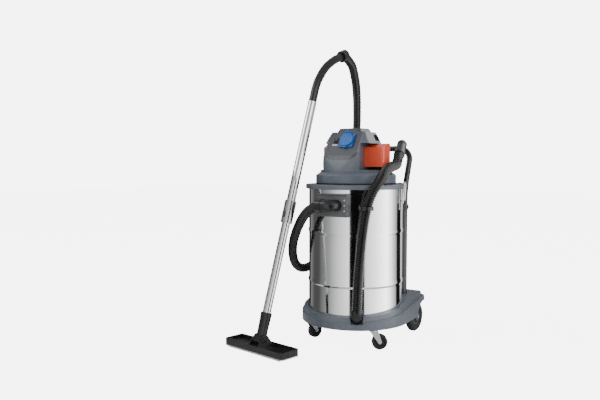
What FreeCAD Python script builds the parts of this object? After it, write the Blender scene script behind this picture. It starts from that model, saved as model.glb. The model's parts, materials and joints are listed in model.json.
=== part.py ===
import FreeCAD, Part
import math
import operator
import os

import Sketcher
from FreeCAD import Placement, Rotation, Vector

# Wet and dry vacuum: steel drum on a trolley, motor head, suction hose, wand and floor tool, drain hose.
# Millimetres. The origin is on the floor under the drum's axis, +Z up, the front (inlet) faces -Y.

doc = FreeCAD.newDocument("shop_vacuum")
sheet = doc.addObject("Spreadsheet::Sheet", "sizes")

dimensions = {
    # drum
    "drum_radius": 190, "drum_wall": 1.2, "drum_floor": 104, "drum_length": 522,
    "bead_length": 26, "bead_depth": 2.5, "lower_bead": 141, "upper_bead": 342,
    # rim band and gasket
    "band_overhang": 13, "band_skirt": 13, "band_plate": 5, "band_opening": 150, "gasket_length": 4,
    # head
    "base_radius": 162, "base_length": 32, "base_slope": 13, "shoulder_radius": 143, "head_wall": 3.5,
    "cover_length": 158, "panel_width": 140, "panel_length": 97, "panel_depth": 4, "cap_length": 15,
    "grip_inner": 55, "grip_outer": 140, "grip_depth": 64, "grip_length": 92, "grip_rear": 34,
    "motor_radius": 66, "motor_length": 92, "shaft_radius": 5, "fan_radius": 54, "fan_length": 24,
    "filter_radius": 72, "filter_bore": 52, "filter_length": 160,
    "cage_radius": 34, "cage_length": 74, "ball_radius": 19, "ball_travel": 24,
    "lid_radius": 29, "lid_depth": 9, "flange_width": 62, "flange_depth": 7, "socket_radius": 21,
    "rocker_width": 15, "rocker_length": 21, "gland_radius": 8,
    # latches
    "latch_azimuth": 9, "latch_height": 461, "lever_length": 38, "bail_width": 20.6, "bail_wire": 1.5,
    # inlet
    "inlet_width": 132, "inlet_length": 88, "inlet_height": 554, "neck_radius": 23,
    # trolley and wheels
    "trolley_radius": 217, "trolley_rear": 262, "trolley_wall": 5, "drum_clearance": 1.5,
    "front_lip": 126, "rear_lip": 167, "trolley_bottom": 80, "wheel_arch": 74,
    "wheel_radius": 62.5, "wheel_width": 28, "wheel_track": 155, "wheel_setback": 235, "hub_radius": 34,
    "axle_radius": 6, "caster_track": 145, "caster_reach": 115, "caster_radius": 30, "caster_width": 22,
    "caster_trail": 24, "caster_pin": 4,
    # push handle
    "handle_tube": 12, "handle_half_width": 130, "handle_setback": 185, "handle_foot": 130,
    "handle_bend": 600, "handle_top": 777, "handle_lean": 62, "handle_corner": 55, "bracket_height": 532,
    # hoses
    "hose_radius": 19, "drain_radius": 20,
    # wand and floor tool
    "wand_radius": 17.5, "wand_wall": 1, "slide_gap": 0.25, "wand_overlap": 80, "stroke": 300,
    "upper_length": 427, "coupling_length": 74, "lower_length": 353, "coupling_radius": 23,
    "socket_length": 54, "plug_length": 38, "knuckle_height": 46, "knuckle_radius": 21,
    "tool_width": 318, "tool_depth": 92, "tool_height": 40, "tool_wall": 3,
    # clearances
    "fit_gap": 0.3, "pin_gap": 0.08, "rim_gap": 0.5,
}

for row, (alias, number) in enumerate(dimensions.items(), start=1):
    sheet.set(f"A{row}", alias)
    sheet.set(f"B{row}", str(number))
    sheet.setAlias(f"B{row}", alias)
doc.recompute()


class Size(float):
    """A length that also knows its formula in the spreadsheet."""

    def __new__(cls, number, text=None):
        size = float.__new__(cls, number)
        size.text = text or repr(float(number))
        return size

    def joined(self, sign, other, way, turned=False):
        other = other if isinstance(other, Size) else Size(other)
        first, second = (other, self) if turned else (self, other)
        return Size(way(float(first), float(second)), f"({first.text} {sign} {second.text})")

    def __add__(self, other):
        return self.joined("+", other, operator.add)

    def __radd__(self, other):
        return self.joined("+", other, operator.add, True)

    def __sub__(self, other):
        return self.joined("-", other, operator.sub)

    def __rsub__(self, other):
        return self.joined("-", other, operator.sub, True)

    def __mul__(self, other):
        return self.joined("*", other, operator.mul)

    def __rmul__(self, other):
        return self.joined("*", other, operator.mul, True)

    def __truediv__(self, other):
        return self.joined("/", other, operator.truediv)

    def __neg__(self):
        return self * -1


class Sizes:
    """Reads the spreadsheet's cells by name."""

    def __getattr__(self, alias):
        return Size(getattr(sheet, alias), f"sizes.{alias}")


s = Sizes()
pieces = []

X, Y, Z = Vector(1, 0, 0), Vector(0, 1, 0), Vector(0, 0, 1)
upright = Rotation()
alongX = Rotation(Y, 90)
alongY = Rotation(X, -90)
outFront = Rotation(X, 90)


# ---- building helpers ----

def bind(item, **values):
    """Sets each property, through the spreadsheet's formula where the value has one."""
    for name, value in values.items():
        if isinstance(value, Size) and "sizes." in value.text:
            item.setExpression(name, value.text)
        else:
            setattr(item, name, float(value))
    return item


def place(item, x=0, y=0, z=0, turn=upright):
    item.Placement = Placement(Vector(x, y, z), turn)
    for letter, value in zip("xyz", (x, y, z)):
        if isinstance(value, Size) and "sizes." in value.text:
            item.setExpression(f"Placement.Base.{letter}", value.text)
    return item


def cylinder(radius, height, x=0, y=0, z=0, turn=upright):
    return place(bind(doc.addObject("Part::Cylinder", "cylinder"), Radius=radius, Height=height), x, y, z, turn)


def box(length, width, height, x=0, y=0, z=0, turn=upright):
    item = bind(doc.addObject("Part::Box", "box"), Length=length, Width=width, Height=height)
    return place(item, x, y, z, turn)


def ball(radius, x=0, y=0, z=0):
    return place(bind(doc.addObject("Part::Sphere", "ball"), Radius=radius), x, y, z)


def fuse(*items):
    item = doc.addObject("Part::MultiFuse", "fuse")
    item.Shapes = list(items)
    return item


def group(*items):
    item = doc.addObject("Part::Compound", "group")
    item.Links = list(items)
    return item


def cut(base, *tools):
    item = doc.addObject("Part::Cut", "cut")
    item.Base = base
    item.Tool = tools[0] if len(tools) == 1 else fuse(*tools)
    return item


def ring(outer, inner, height, x=0, y=0, z=0, turn=upright):
    """A tube, its bore run through both ends."""
    return cut(cylinder(outer, height, x, y, z, turn), cylinder(inner, height, x, y, z, turn))


def feature(shape):
    item = doc.addObject("Part::Feature", "feature")
    item.Shape = shape
    return item


def plane(body, role):
    return next(o for o in body.Origin.OriginFeatures if o.Role == role)


def outline(body, role, points):
    """A closed sketch of straight lines whose corners are held at the given sizes."""
    sketch = body.newObject("Sketcher::SketchObject", "outline")
    sketch.AttachmentSupport = (plane(body, role), [""])
    sketch.MapMode = "FlatFace"
    corners = [Vector(float(a), float(b), 0) for a, b in points]
    for first, second in zip(corners, corners[1:] + corners[:1]):
        sketch.addGeometry(Part.LineSegment(first, second), False)
    for i, (across, up) in enumerate(points):
        before = i - 1 if i else len(points) - 1
        sketch.addConstraint(Sketcher.Constraint("Coincident", before, 2, i, 1))
        for kind, value in (("DistanceX", across), ("DistanceY", up)):
            number = sketch.addConstraint(Sketcher.Constraint(kind, -1, 1, i, 1, float(value)))
            if isinstance(value, Size) and "sizes." in value.text:
                sketch.setExpression(f"Constraints[{number}]", value.text)
    return sketch


def revolved(points, axis="V_Axis"):
    """A PartDesign body turned about the vertical axis from (radius, height) corners."""
    body = doc.addObject("PartDesign::Body", "turned")
    sketch = outline(body, "XZ_Plane", points)
    turn = body.newObject("PartDesign::Revolution", "turn")
    turn.Profile = sketch
    turn.ReferenceAxis = (sketch, [axis])
    turn.Angle = 360
    sketch.Visibility = False
    return body


def piece(item, name):
    """Names a finished sub-part, which is written to a file of that name."""
    item.Label = name
    pieces.append(item)
    return item


def route(points, share=0.45):
    """Straight runs joined by tangent arcs, each as large as its two runs allow."""
    edges = []
    radii = []
    start = points[0]
    for before, corner, after in zip(points, points[1:], points[2:]):
        arrive, leave = corner - before, after - corner
        half = arrive.getAngle(leave) / 2
        reach = share * min(arrive.Length, leave.Length)
        radius = reach / math.tan(half)
        radii.append(radius)
        first = corner - arrive.normalize() * reach
        last = corner + leave.normalize() * reach
        inward = ((first + last) * 0.5 - corner).normalize()
        middle = corner + inward * (radius / math.cos(half) - radius)
        edges.append(Part.LineSegment(start, first).toShape())
        edges.append(Part.Arc(first, middle, last).toShape())
        start = last
    edges.append(Part.LineSegment(start, points[-1]).toShape())
    return Part.Wire(edges), radii


def pipe(wire, radius, bore=0):
    """A round tube swept along a wire of lines and tangent arcs."""
    start = wire.Edges[0]
    point = start.valueAt(start.FirstParameter)
    along = start.tangentAt(start.FirstParameter)
    section = Part.Wire([Part.Circle(point, along, radius).toShape()])
    solid = wire.makePipeShell([section], True, False)
    if bore:
        inner = Part.Wire([Part.Circle(point, along, bore).toShape()])
        solid = solid.cut(wire.makePipeShell([inner], True, False))
    return solid


# ---- drum, rim band and gasket ----

drumTop = s.drum_floor + s.drum_length
bandBottom = drumTop - s.band_skirt
bandTop = drumTop + s.band_plate
headFloor = bandTop + s.gasket_length


def drumProfile(inset):
    """The drum's outer line, or its inner line when set in by the wall."""
    radius = s.drum_radius - inset
    points = [(radius - 12, s.drum_floor + inset), (radius, s.drum_floor + 12)]
    for bead in (s.lower_bead, s.upper_bead):
        middle = s.drum_floor + bead
        for share, depth in ((-0.5, 0), (-0.2, 1), (0.2, 1), (0.5, 0)):
            points.append((radius + s.bead_depth * depth, middle + s.bead_length * share))
    points.append((radius, drumTop - s.rim_gap))
    return points


outer = [(Size(0), s.drum_floor)] + drumProfile(Size(0))
inner = drumProfile(s.drum_wall) + [(Size(0), s.drum_floor + s.drum_wall)]
inner = [inner[-1]] + inner[:-1]
piece(revolved(outer + inner[::-1]), "drum")

bandInner = s.drum_radius + s.fit_gap
bandOuter = s.drum_radius + s.band_overhang
piece(revolved([(bandInner, bandBottom), (bandOuter - 1, bandBottom), (bandOuter, bandBottom + 1),
                (bandOuter, bandTop - 2), (bandOuter - 2, bandTop), (s.band_opening, bandTop),
                (s.band_opening, drumTop), (bandInner, drumTop)]), "rim_band")
piece(ring(s.base_radius - 2, s.band_opening, s.gasket_length, z=bandTop), "rim_gasket")

# ---- motor head ----

shoulder = headFloor + s.base_length + s.base_slope
plateRadius = s.base_radius
headShell = revolved([
    (s.filter_bore + 10, headFloor + 6), (s.filter_bore + 10, headFloor), (plateRadius - 1, headFloor),
    (plateRadius, headFloor + 1), (plateRadius, headFloor + s.base_length), (s.shoulder_radius, shoulder),
    (s.shoulder_radius - 4, shoulder), (s.shoulder_radius - 4, shoulder - 12),
    (plateRadius - 6, headFloor + s.base_length - 2), (plateRadius - 6, headFloor + 6)])
glandHeight = headFloor + 18
piece(cut(headShell, cylinder(s.gland_radius + 0.05, 40, y=plateRadius - 20, z=glandHeight, turn=alongY)),
      "head_base")


def section(height, half, front, rear, frontCorner, rearCorner):
    """A closed plan outline of four straight sides and four corner arcs."""
    edges = []
    corners = [(half, -front, frontCorner, -90), (half, rear, rearCorner, 0),
               (-half, rear, rearCorner, 90), (-half, -front, frontCorner, 180)]
    arcs = []
    for across, along, radius, turn in corners:
        centre = Vector(across - math.copysign(radius, across), along - math.copysign(radius, along), height)
        ends = [centre + Rotation(Z, turn + a).multVec(X) * radius for a in (0, 45, 90)]
        arcs.append(ends)
    for ends, following in zip(arcs, arcs[1:] + arcs[:1]):
        edges.append(Part.Arc(*ends).toShape())
        edges.append(Part.LineSegment(ends[2], following[0]).toShape())
    return Part.Wire(edges)


coverTop = shoulder + s.cover_length
gripFloor = shoulder + 20
gripTop = gripFloor + s.grip_length
panelFoot = Vector(0, -s.shoulder_radius + 23, coverTop - 83)
panelHead = Vector(0, -s.shoulder_radius + 73, coverTop)
panelTurn = Rotation(X, math.degrees(math.atan2(panelHead.z - panelFoot.z, panelHead.y - panelFoot.y)))


def coverLoft(inset):
    """The head cover's outer form, or the form set in from it all round."""
    full = s.shoulder_radius - inset - 0.3
    middle = shoulder + s.cover_length * 0.49
    return Part.makeLoft([
        section(shoulder, full, full, full, full - 0.5, full - 0.5),
        section(middle, 113 - inset, 121 - inset, 113 - inset, 62 - inset, 100 - inset),
        section(coverTop - inset * 0.9, 75 - inset, 72 - inset, 78 - inset, 16 - inset, 66 - inset),
    ], True, False)


def onPanel(across, along, above=0):
    """A point given in the sloped panel's own directions."""
    return panelFoot + panelTurn.multVec(Vector(across, along, above))


def panelBlock(width, length, depth, across=0, along=0, above=0):
    """A block standing on the panel's plane, centred on a place across and along it."""
    solid = Part.makeBox(width, length, depth, Vector(-width / 2, -length / 2, 0))
    solid.Placement = Placement(onPanel(across, along, above), panelTurn)
    return solid


def gripShape(grow):
    """The right side grip: a block whose top slopes down to the outside and whose outer corners are round."""
    length = s.grip_outer - s.grip_inner
    solid = Part.makeBox(length + grow, s.grip_depth + 2 * grow, s.grip_length + 2 * grow,
                         Vector(s.grip_inner - grow, s.grip_rear - s.grip_depth - grow, gripFloor - grow))
    if grow:
        return solid
    uprights = [e for e in solid.Edges
                if abs(e.tangentAt(0).z) > 0.9 and e.CenterOfMass.x > s.grip_outer - 1]
    solid = solid.makeFillet(10, uprights)
    slope = Part.makeBox(200, 200, 60)
    slope.Placement = Placement(Vector(s.grip_inner - 10, s.grip_rear - s.grip_depth, gripTop - 16),
                                Rotation(X, 22))
    slope.translate(Vector(-20, -20, -8))
    return solid.cut(slope)


def mirrored(shape):
    return shape.mirror(Vector(), X)


def scoop(grow):
    """The hand recess in front of the right grip, down to a ledge above the shoulder, and its lining."""
    front = -s.shoulder_radius - grow
    face = Part.Face(Part.makePolygon([
        Vector(s.grip_inner + 34 - grow, front, 0),
        Vector(s.grip_inner - grow, s.grip_rear - s.grip_depth - s.fit_gap, 0),
        Vector(s.grip_inner - grow, s.grip_rear + s.fit_gap + grow, 0),
        Vector(200, s.grip_rear + s.fit_gap + grow, 0),
        Vector(200, front, 0),
        Vector(s.grip_inner + 34 - grow, front, 0)]))
    face.translate(Vector(0, 0, gripFloor - 12 - grow))
    return face.extrude(Vector(0, 0, s.grip_length + 12 + s.fit_gap + 2 * grow))


coverForm = coverLoft(0)
overPanel = panelBlock(400, 400, 200, 0, 150)
hollow = coverLoft(s.head_wall)
hollow = hollow.cut(panelBlock(400, 400, 200, 0, 150, -s.panel_depth - s.head_wall))
for lining in (scoop(s.head_wall), mirrored(scoop(s.head_wall))):
    hollow = hollow.cut(lining)
louvreNotch = Part.makeBox(30, 50, 32, Vector(62, -4, coverTop - 42))
louvreLining = Part.makeBox(40, 60, 42, Vector(62 - s.head_wall, -9, coverTop - 47))
hollow = hollow.cut(louvreLining).cut(mirrored(louvreLining))
panelSlab = panelBlock(s.panel_width, s.panel_length + 60, s.panel_depth, 0, s.panel_length / 2 - 10, -s.panel_depth)
socketHole = panelBlock(2 * s.socket_radius, 2 * s.socket_radius, 40, 14, 54, -30)
rockerHole = panelBlock(s.rocker_width, s.rocker_length, 40, -38, 54, -30)
shell = coverForm.cut(hollow).cut(overPanel).cut(panelSlab)
for opening in (scoop(0), mirrored(scoop(0)), louvreNotch, mirrored(louvreNotch), socketHole, rockerHole):
    shell = shell.cut(opening)
piece(feature(shell), "head_cover")
panelShape = coverForm.common(panelSlab).cut(overPanel).cut(socketHole).cut(rockerHole)
panelShape = panelShape.cut(scoop(0)).cut(mirrored(scoop(0)))
piece(feature(panelShape), "control_panel")

capFront = panelHead.y + 6
capShape = Part.makeLoft([section(coverTop, 54, -capFront, 62, 12, 40),
                          section(coverTop + s.cap_length, 47, -capFront - 9, 50, 10, 36)], True, True)
piece(feature(capShape), "top_cap")
piece(feature(gripShape(0)), "side_grip_right")
piece(feature(mirrored(gripShape(0))), "side_grip_left")

louvreSide = Part.makeBox(4, 49.4, 31.4, Vector(62, -3.7, coverTop - 41.7))
slats = [Part.makeBox(14, 2, 31.4, Vector(66, -3.7 + step * 7.9, coverTop - 41.7)) for step in range(7)]
louvreShape = louvreSide.fuse(slats).removeSplitter().common(coverLoft(0.4))
piece(feature(Part.makeCompound([louvreShape, mirrored(louvreShape)])), "vent_louvres")

# Motor hanging on its plate inside the head, with the fan under it and the shaft through both.
plateTop = headFloor + 6 + 5
piece(ring(s.base_radius - 8, s.shaft_radius + 6, 5, z=headFloor + 6), "motor_plate")
fanFloor = plateTop + 3
motorFloorZ = fanFloor + s.fan_length + 6
piece(fuse(ring(s.motor_radius, s.motor_radius - 2, motorFloorZ - plateTop, z=plateTop),
           ring(s.motor_radius, s.shaft_radius + 1, 4, z=motorFloorZ),
           ring(s.motor_radius - 16, 30, s.motor_length - 40, z=motorFloorZ + 4),
           cut(cylinder(s.motor_radius - 16, 5, z=motorFloorZ + s.motor_length - 36),
               cylinder(s.shaft_radius + 0.08, 5, z=motorFloorZ + s.motor_length - 36))), "motor_housing")
piece(fuse(cylinder(s.shaft_radius, motorFloorZ + s.motor_length - 34 - fanFloor, z=fanFloor),
           cylinder(s.fan_radius, 2, z=fanFloor), cylinder(s.fan_radius, 2, z=fanFloor + s.fan_length - 2),
           *[box(s.fan_radius - 6, 2, s.fan_length, x=0, y=-1, z=fanFloor, turn=Rotation(Z, step * 40))
             for step in range(9)],
           cylinder(24, 34, z=motorFloorZ + 10)), "fan_rotor")

# Filter cartridge and the float that shuts off the air when the drum is full.
filterTop = headFloor
piece(fuse(ring(s.filter_radius, s.filter_bore, s.filter_length, z=filterTop - s.filter_length),
           cylinder(s.filter_radius, 4, z=filterTop - s.filter_length)), "filter_cartridge")
cageFloor = filterTop - s.cage_length
windows = box(2 * s.cage_radius + 4, 12, s.cage_length - 28, x=-s.cage_radius - 2, y=-6, z=cageFloor + 8)
piece(cut(fuse(ring(s.cage_radius, s.cage_radius - 2.5, s.cage_length, z=cageFloor),
               ring(s.filter_bore - s.fit_gap, s.cage_radius - 2.5, 3, z=filterTop - 3),
               cylinder(s.cage_radius, 3, z=cageFloor)), windows), "float_cage")
piece(ball(s.ball_radius, z=cageFloor + 3 + s.ball_radius + s.fit_gap), "float_ball")

# Tool socket, its lid, and the rocker switch on the sloped panel.
socketAcross, socketAlong, rockerAcross = 14, 54, -38


def panelCylinder(radius, length, across, along, above):
    solid = Part.makeCylinder(radius, length)
    solid.Placement = Placement(onPanel(across, along, above), panelTurn)
    return solid


flange = panelBlock(s.flange_width, s.flange_width, s.flange_depth, socketAcross, socketAlong, 0.05)
flange = flange.makeFillet(5, [e for e in flange.Edges
                               if abs(e.tangentAt(0).dot(panelTurn.multVec(Z))) > 0.9])
well = panelCylinder(s.socket_radius - 0.5, 28, socketAcross, socketAlong, -22)
wellBore = panelCylinder(s.socket_radius - 3, 60, socketAcross, socketAlong, -19)
pinRow = socketAlong + s.lid_radius + 4
pinAbove = s.flange_depth + 5
knuckle = panelBlock(16, 8, 10, socketAcross, pinRow, s.flange_depth - 0.5)


def panelPin(radius, length):
    solid = Part.makeCylinder(radius, length, Vector(-length / 2, 0, 0), X)
    solid.Placement = Placement(onPanel(socketAcross, pinRow, pinAbove), panelTurn)
    return solid


piece(feature(flange.fuse(well).cut(wellBore).fuse(knuckle).cut(panelPin(2.08, 40))), "tool_socket")
lidPlate = panelCylinder(s.lid_radius, s.lid_depth - 2, socketAcross, socketAlong, s.flange_depth + 0.4)
lidTab = panelBlock(12, 8, 4, socketAcross, socketAlong - s.lid_radius - 2, s.flange_depth + 0.4)
lidArms = [panelBlock(5, 16, 5, socketAcross + side * 11.5, pinRow - 5, pinAbove - 2.5) for side in (-1, 1)]
lidShape = lidPlate.makeFillet(1.5, [lidPlate.Edges[0]]).fuse([lidTab] + lidArms)
lidShape = lidShape.cut(panelBlock(17, 14, 12, socketAcross, pinRow + 1, s.flange_depth - 1))
piece(feature(lidShape.fuse(panelPin(2, 28))), "socket_lid")

rockerFrame = panelBlock(s.rocker_width + 6, s.rocker_length + 6, 2, rockerAcross, socketAlong, 0.05)
rockerFrame = rockerFrame.fuse(panelBlock(s.rocker_width - 0.6, s.rocker_length - 0.6, 16,
                                          rockerAcross, socketAlong, -15))
rockerSpace = panelBlock(s.rocker_width - 3, s.rocker_length - 3, 40, rockerAcross, socketAlong, -13)
piece(feature(rockerFrame.cut(rockerSpace)), "switch_frame")
rockerThrow = 12
keyLength = s.rocker_length - 3 - 1.2
key = Part.Face(Part.makePolygon([Vector(-keyLength / 2, 0, 0), Vector(keyLength / 2, 0, 0),
                                  Vector(keyLength / 2 - 0.6, 8, 0), Vector(0, 6.2, 0),
                                  Vector(-keyLength / 2 + 0.6, 8, 0), Vector(-keyLength / 2, 0, 0)]))
key = key.extrude(Vector(0, 0, s.rocker_width - 4))
key.Placement = Placement(Vector(-(s.rocker_width - 4) / 2, 0, -3.5), Rotation(Y, 90) * Rotation(Z, 90))
rockerRest = Placement(onPanel(rockerAcross, socketAlong), panelTurn * Rotation(X, -rockerThrow / 2))
key.transformShape(rockerRest.toMatrix())
piece(feature(key), "switch_rocker")

piece(ring(s.gland_radius, 4, 18, y=s.base_radius - 7.5, z=glandHeight, turn=alongY), "cable_gland")


# ---- latches: one on each side ----

def latchTurn(side):
    return Rotation(Z, s.latch_azimuth if side > 0 else 180 - s.latch_azimuth)


wall = s.drum_radius + 0.2
pivotX, pivotZ = wall + 13, s.drum_floor + s.latch_height
hookX, hookZ = pivotX - 1.5, pivotZ - 8.3
barX, barZ = bandOuter + 3, headFloor + 3 + s.bail_wire + 2 * s.fit_gap
keeperReach = bandOuter + 5.5


def latchPart(shape, side):
    item = feature(shape)
    item.Placement = Placement(Vector(), latchTurn(side))
    return item


def crossBar(radius, width, x, z):
    return Part.makeCylinder(radius, width, Vector(x, -width / 2, z), Y)


def latchBase():
    plate = Part.makeBox(2.5, 26, 62, Vector(wall, -13, pivotZ - 34))
    web = Part.makeBox(pivotX - wall, 12.4, 6, Vector(wall, -6.2, pivotZ - 3))
    base = plate.fuse([web, crossBar(3.6, 12.4, pivotX, pivotZ)])
    return base.cut(crossBar(2 + s.pin_gap, 40, pivotX, pivotZ))


def latchLever():
    plate = Part.makeBox(2, 17, s.lever_length, Vector(pivotX + 4.2, -8.5, pivotZ - s.lever_length))
    plate = plate.makeFillet(6, [e for e in plate.Edges
                                 if abs(e.tangentAt(0).x) > 0.9 and e.CenterOfMass.z < pivotZ - 20])
    cheeks = [Part.makeBox(9.5, 2, 15, Vector(pivotX - 4.5, y, pivotZ - 12)) for y in (-8.5, 6.5)]
    lever = plate.fuse(cheeks + [crossBar(2, 17, pivotX, pivotZ)])
    return lever.cut(crossBar(s.bail_wire + s.pin_gap, 40, hookX, hookZ).cut(crossBar(4, 12.9, hookX, hookZ)))


def latchBail():
    half = s.bail_width / 2
    path, _ = route([Vector(hookX, -6.7, hookZ), Vector(hookX, -half, hookZ), Vector(barX, -half, barZ),
                     Vector(barX, half, barZ), Vector(hookX, half, hookZ), Vector(hookX, 6.7, hookZ)])
    return pipe(path, s.bail_wire)


piece(group(*[latchPart(latchBase(), side) for side in (-1, 1)]), "latch_bases")
keepers = [latchPart(Part.makeBox(keeperReach - s.base_radius - 0.2, 7, 3,
                                  Vector(s.base_radius + 0.2, -3.5, headFloor)), side) for side in (-1, 1)]
piece(group(*keepers), "latch_keepers")
for name, side in (("left", -1), ("right", 1)):
    piece(latchPart(latchLever(), side), "latch_lever_" + name)
    piece(latchPart(latchBail(), side), "latch_bail_" + name)


# ---- inlet ----

plateFront = -s.drum_radius - 12
neckHeight = s.inlet_height
inletFloor = neckHeight - s.inlet_length / 2
drumBlank = cylinder(s.drum_radius + s.fit_gap, s.inlet_length + 40, z=inletFloor - 20)
inletBlock = box(s.inlet_width, 45, s.inlet_length, x=-s.inlet_width / 2 + 10, y=plateFront, z=inletFloor)
inletHood = box(s.inlet_width - 8, 6, 4, x=-s.inlet_width / 2 + 14, y=plateFront - 6, z=inletFloor + s.inlet_length - 4)
inletHole = cylinder(s.neck_radius - 3, 60, x=30, y=-s.drum_radius + 20, z=neckHeight, turn=outFront)
piece(cut(fuse(inletBlock, inletHood), drumBlank, inletHole), "inlet_housing")
piece(group(*[cylinder(3, 2.5, x=66, y=plateFront, z=neckHeight + step, turn=outFront)
              for step in (-20, 0, 20)]), "inlet_rivets")
neckStart = Vector(30, plateFront - 0.05, neckHeight)
hoseStart = Vector(-12, plateFront - 34, neckHeight)
neckPath, _ = route([neckStart, Vector(30, plateFront - 34, neckHeight), hoseStart], share=0.8)
piece(feature(pipe(neckPath, s.neck_radius, s.neck_radius - 3)), "inlet_elbow")


# ---- trolley ----

def trolleyPlan(inset, height):
    """A round front whose sides run back to two rounded rear corners."""
    radius = s.trolley_radius - inset
    lean = math.radians(4.4)
    side = Vector(radius * math.cos(lean), radius * math.sin(lean), 0)
    rear = s.trolley_rear - inset
    corner = 26 - inset
    backX = side.x - (rear - side.y) * math.tan(lean)
    startArc = Vector(backX + corner * math.tan(lean) * 0.6, rear - corner, 0)
    endArc = Vector(backX - corner, rear, 0)
    middleArc = Vector(backX - corner * 0.27, rear - corner * 0.27, 0)
    edges = [Part.Arc(Vector(-side.x, side.y, 0), Vector(0, -radius, 0), side).toShape(),
             Part.LineSegment(side, startArc).toShape(),
             Part.Arc(startArc, middleArc, endArc).toShape(),
             Part.LineSegment(endArc, Vector(-endArc.x, rear, 0)).toShape(),
             Part.Arc(Vector(-endArc.x, rear, 0), Vector(-middleArc.x, middleArc.y, 0),
                      Vector(-startArc.x, startArc.y, 0)).toShape(),
             Part.LineSegment(Vector(-startArc.x, startArc.y, 0), Vector(-side.x, side.y, 0)).toShape()]
    plan = Part.Wire(edges)
    plan.translate(Vector(0, 0, height))
    return plan


def upTo(plan, height):
    return Part.Face(plan).extrude(Vector(0, 0, height))


lipRise = math.degrees(math.atan2(s.rear_lip - s.front_lip, s.trolley_radius * 1.85))
floorPlate = s.drum_floor - 5
reach = 700


def above(height, grow=0):
    """Everything above the trolley's sloping top, which rises toward the rear."""
    block = Part.makeBox(reach, reach, 200, Vector(-reach / 2, 0, 0))
    block.Placement = Placement(Vector(0, -s.trolley_radius, height + grow), Rotation(X, lipRise))
    front = Part.makeBox(reach, 200, 200, Vector(-reach / 2, -s.trolley_radius - 200, height + grow))
    return block.fuse(front)


trolleyBlank = upTo(trolleyPlan(0, s.trolley_bottom), 100).cut(above(s.front_lip - 18))
innerWall = 20
upperTier = Part.makeLoft([trolleyPlan(0, s.trolley_bottom + 20), trolleyPlan(innerWall, s.trolley_bottom + 110)], True)
upperTier = upperTier.cut(above(s.front_lip))
trolleyShape = trolleyBlank.fuse(upperTier)
well = Part.makeCylinder(s.drum_radius + s.drum_clearance, 200, Vector(0, 0, s.drum_floor))
underside = upTo(trolleyPlan(s.trolley_wall, s.trolley_bottom - 1), floorPlate - s.trolley_bottom + 1)
pedestal = Part.makeCylinder(22, 60, Vector(0, 0, s.trolley_bottom))
bosses = [Part.makeCylinder(24, floorPlate - s.trolley_bottom + 2,
                            Vector(side * s.caster_track, -s.caster_reach, s.trolley_bottom)) for side in (-1, 1)]
hangers = [Part.makeBox(12, 40, floorPlate - 48, Vector(side * 112 - 6, s.wheel_setback - 20, 50))
           for side in (-1, 1)]
arches = []
for side in (-1, 1):
    inner = s.wheel_track - s.wheel_width / 2 - 5
    start = inner if side > 0 else -inner - 120
    arches.append(Part.makeCylinder(s.wheel_arch, 120, Vector(start, s.wheel_setback, s.wheel_radius), X))
legs = [Vector(side * s.handle_half_width, s.handle_setback, s.handle_foot) for side in (-1, 1)]
legHoles = [Part.makeCylinder(s.handle_tube + s.fit_gap / 3, 200, leg) for leg in legs]
drainAngle = math.radians(31)
drainOut = Vector(math.sin(drainAngle), -math.cos(drainAngle), 0)
elbowPlace = drainOut * 221
elbowNotch = Part.makeCylinder(s.drain_radius + 5, 200, Vector(elbowPlace.x, elbowPlace.y, 104))
spoutNotch = Part.makeCylinder(s.drain_radius + 5, 60, Vector(drainOut.x * 170, drainOut.y * 170, 127), drainOut)
trolleyShape = trolleyShape.cut(well).cut(underside).fuse(bosses + hangers)
for space in arches + legHoles + [elbowNotch, spoutNotch]:
    trolleyShape = trolleyShape.cut(space)
axleHole = Part.makeCylinder(s.axle_radius + s.fit_gap / 3, 400, Vector(-200, s.wheel_setback, s.wheel_radius), X)
trolleyShape = trolleyShape.cut(axleHole)
piece(feature(trolleyShape), "trolley")


# ---- rear wheels ----

axleHalf = s.wheel_track + s.wheel_width / 2 + 6
piece(cylinder(s.axle_radius, axleHalf * 2, x=-axleHalf, y=s.wheel_setback, z=s.wheel_radius, turn=alongX),
      "rear_axle")
for name, side in (("left", -1), ("right", 1)):
    middle = s.wheel_track * side
    start = middle - s.wheel_width / 2
    tyre = revolved([(s.hub_radius + 6, s.wheel_width * -0.5), (s.wheel_radius - 6, s.wheel_width * -0.5),
                     (s.wheel_radius, s.wheel_width * -0.28), (s.wheel_radius, s.wheel_width * 0.28),
                     (s.wheel_radius - 6, s.wheel_width * 0.5), (s.hub_radius + 6, s.wheel_width * 0.5),
                     (s.hub_radius, s.wheel_width * 0.36), (s.hub_radius, s.wheel_width * -0.36)])
    piece(place(tyre, middle, s.wheel_setback, s.wheel_radius, alongX), "rear_tyre_" + name)
    hub = revolved([(s.axle_radius + s.pin_gap, s.wheel_width * -0.5 - 2), (18, s.wheel_width * -0.5 - 2),
                    (20, s.wheel_width * -0.2), (s.hub_radius - 5, s.wheel_width * -0.2),
                    (s.hub_radius - 5, s.wheel_width * -0.36), (s.hub_radius, s.wheel_width * -0.36),
                    (s.hub_radius, s.wheel_width * 0.36), (s.hub_radius - 5, s.wheel_width * 0.36),
                    (s.hub_radius - 5, s.wheel_width * 0.2), (20, s.wheel_width * 0.2),
                    (18, s.wheel_width * 0.5 + 2), (s.axle_radius + s.pin_gap, s.wheel_width * 0.5 + 2)])
    piece(place(hub, middle, s.wheel_setback, s.wheel_radius, alongX), "rear_hub_" + name)


# ---- casters: the plate and its pin stay, the fork swivels, the wheel rolls ----

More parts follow.
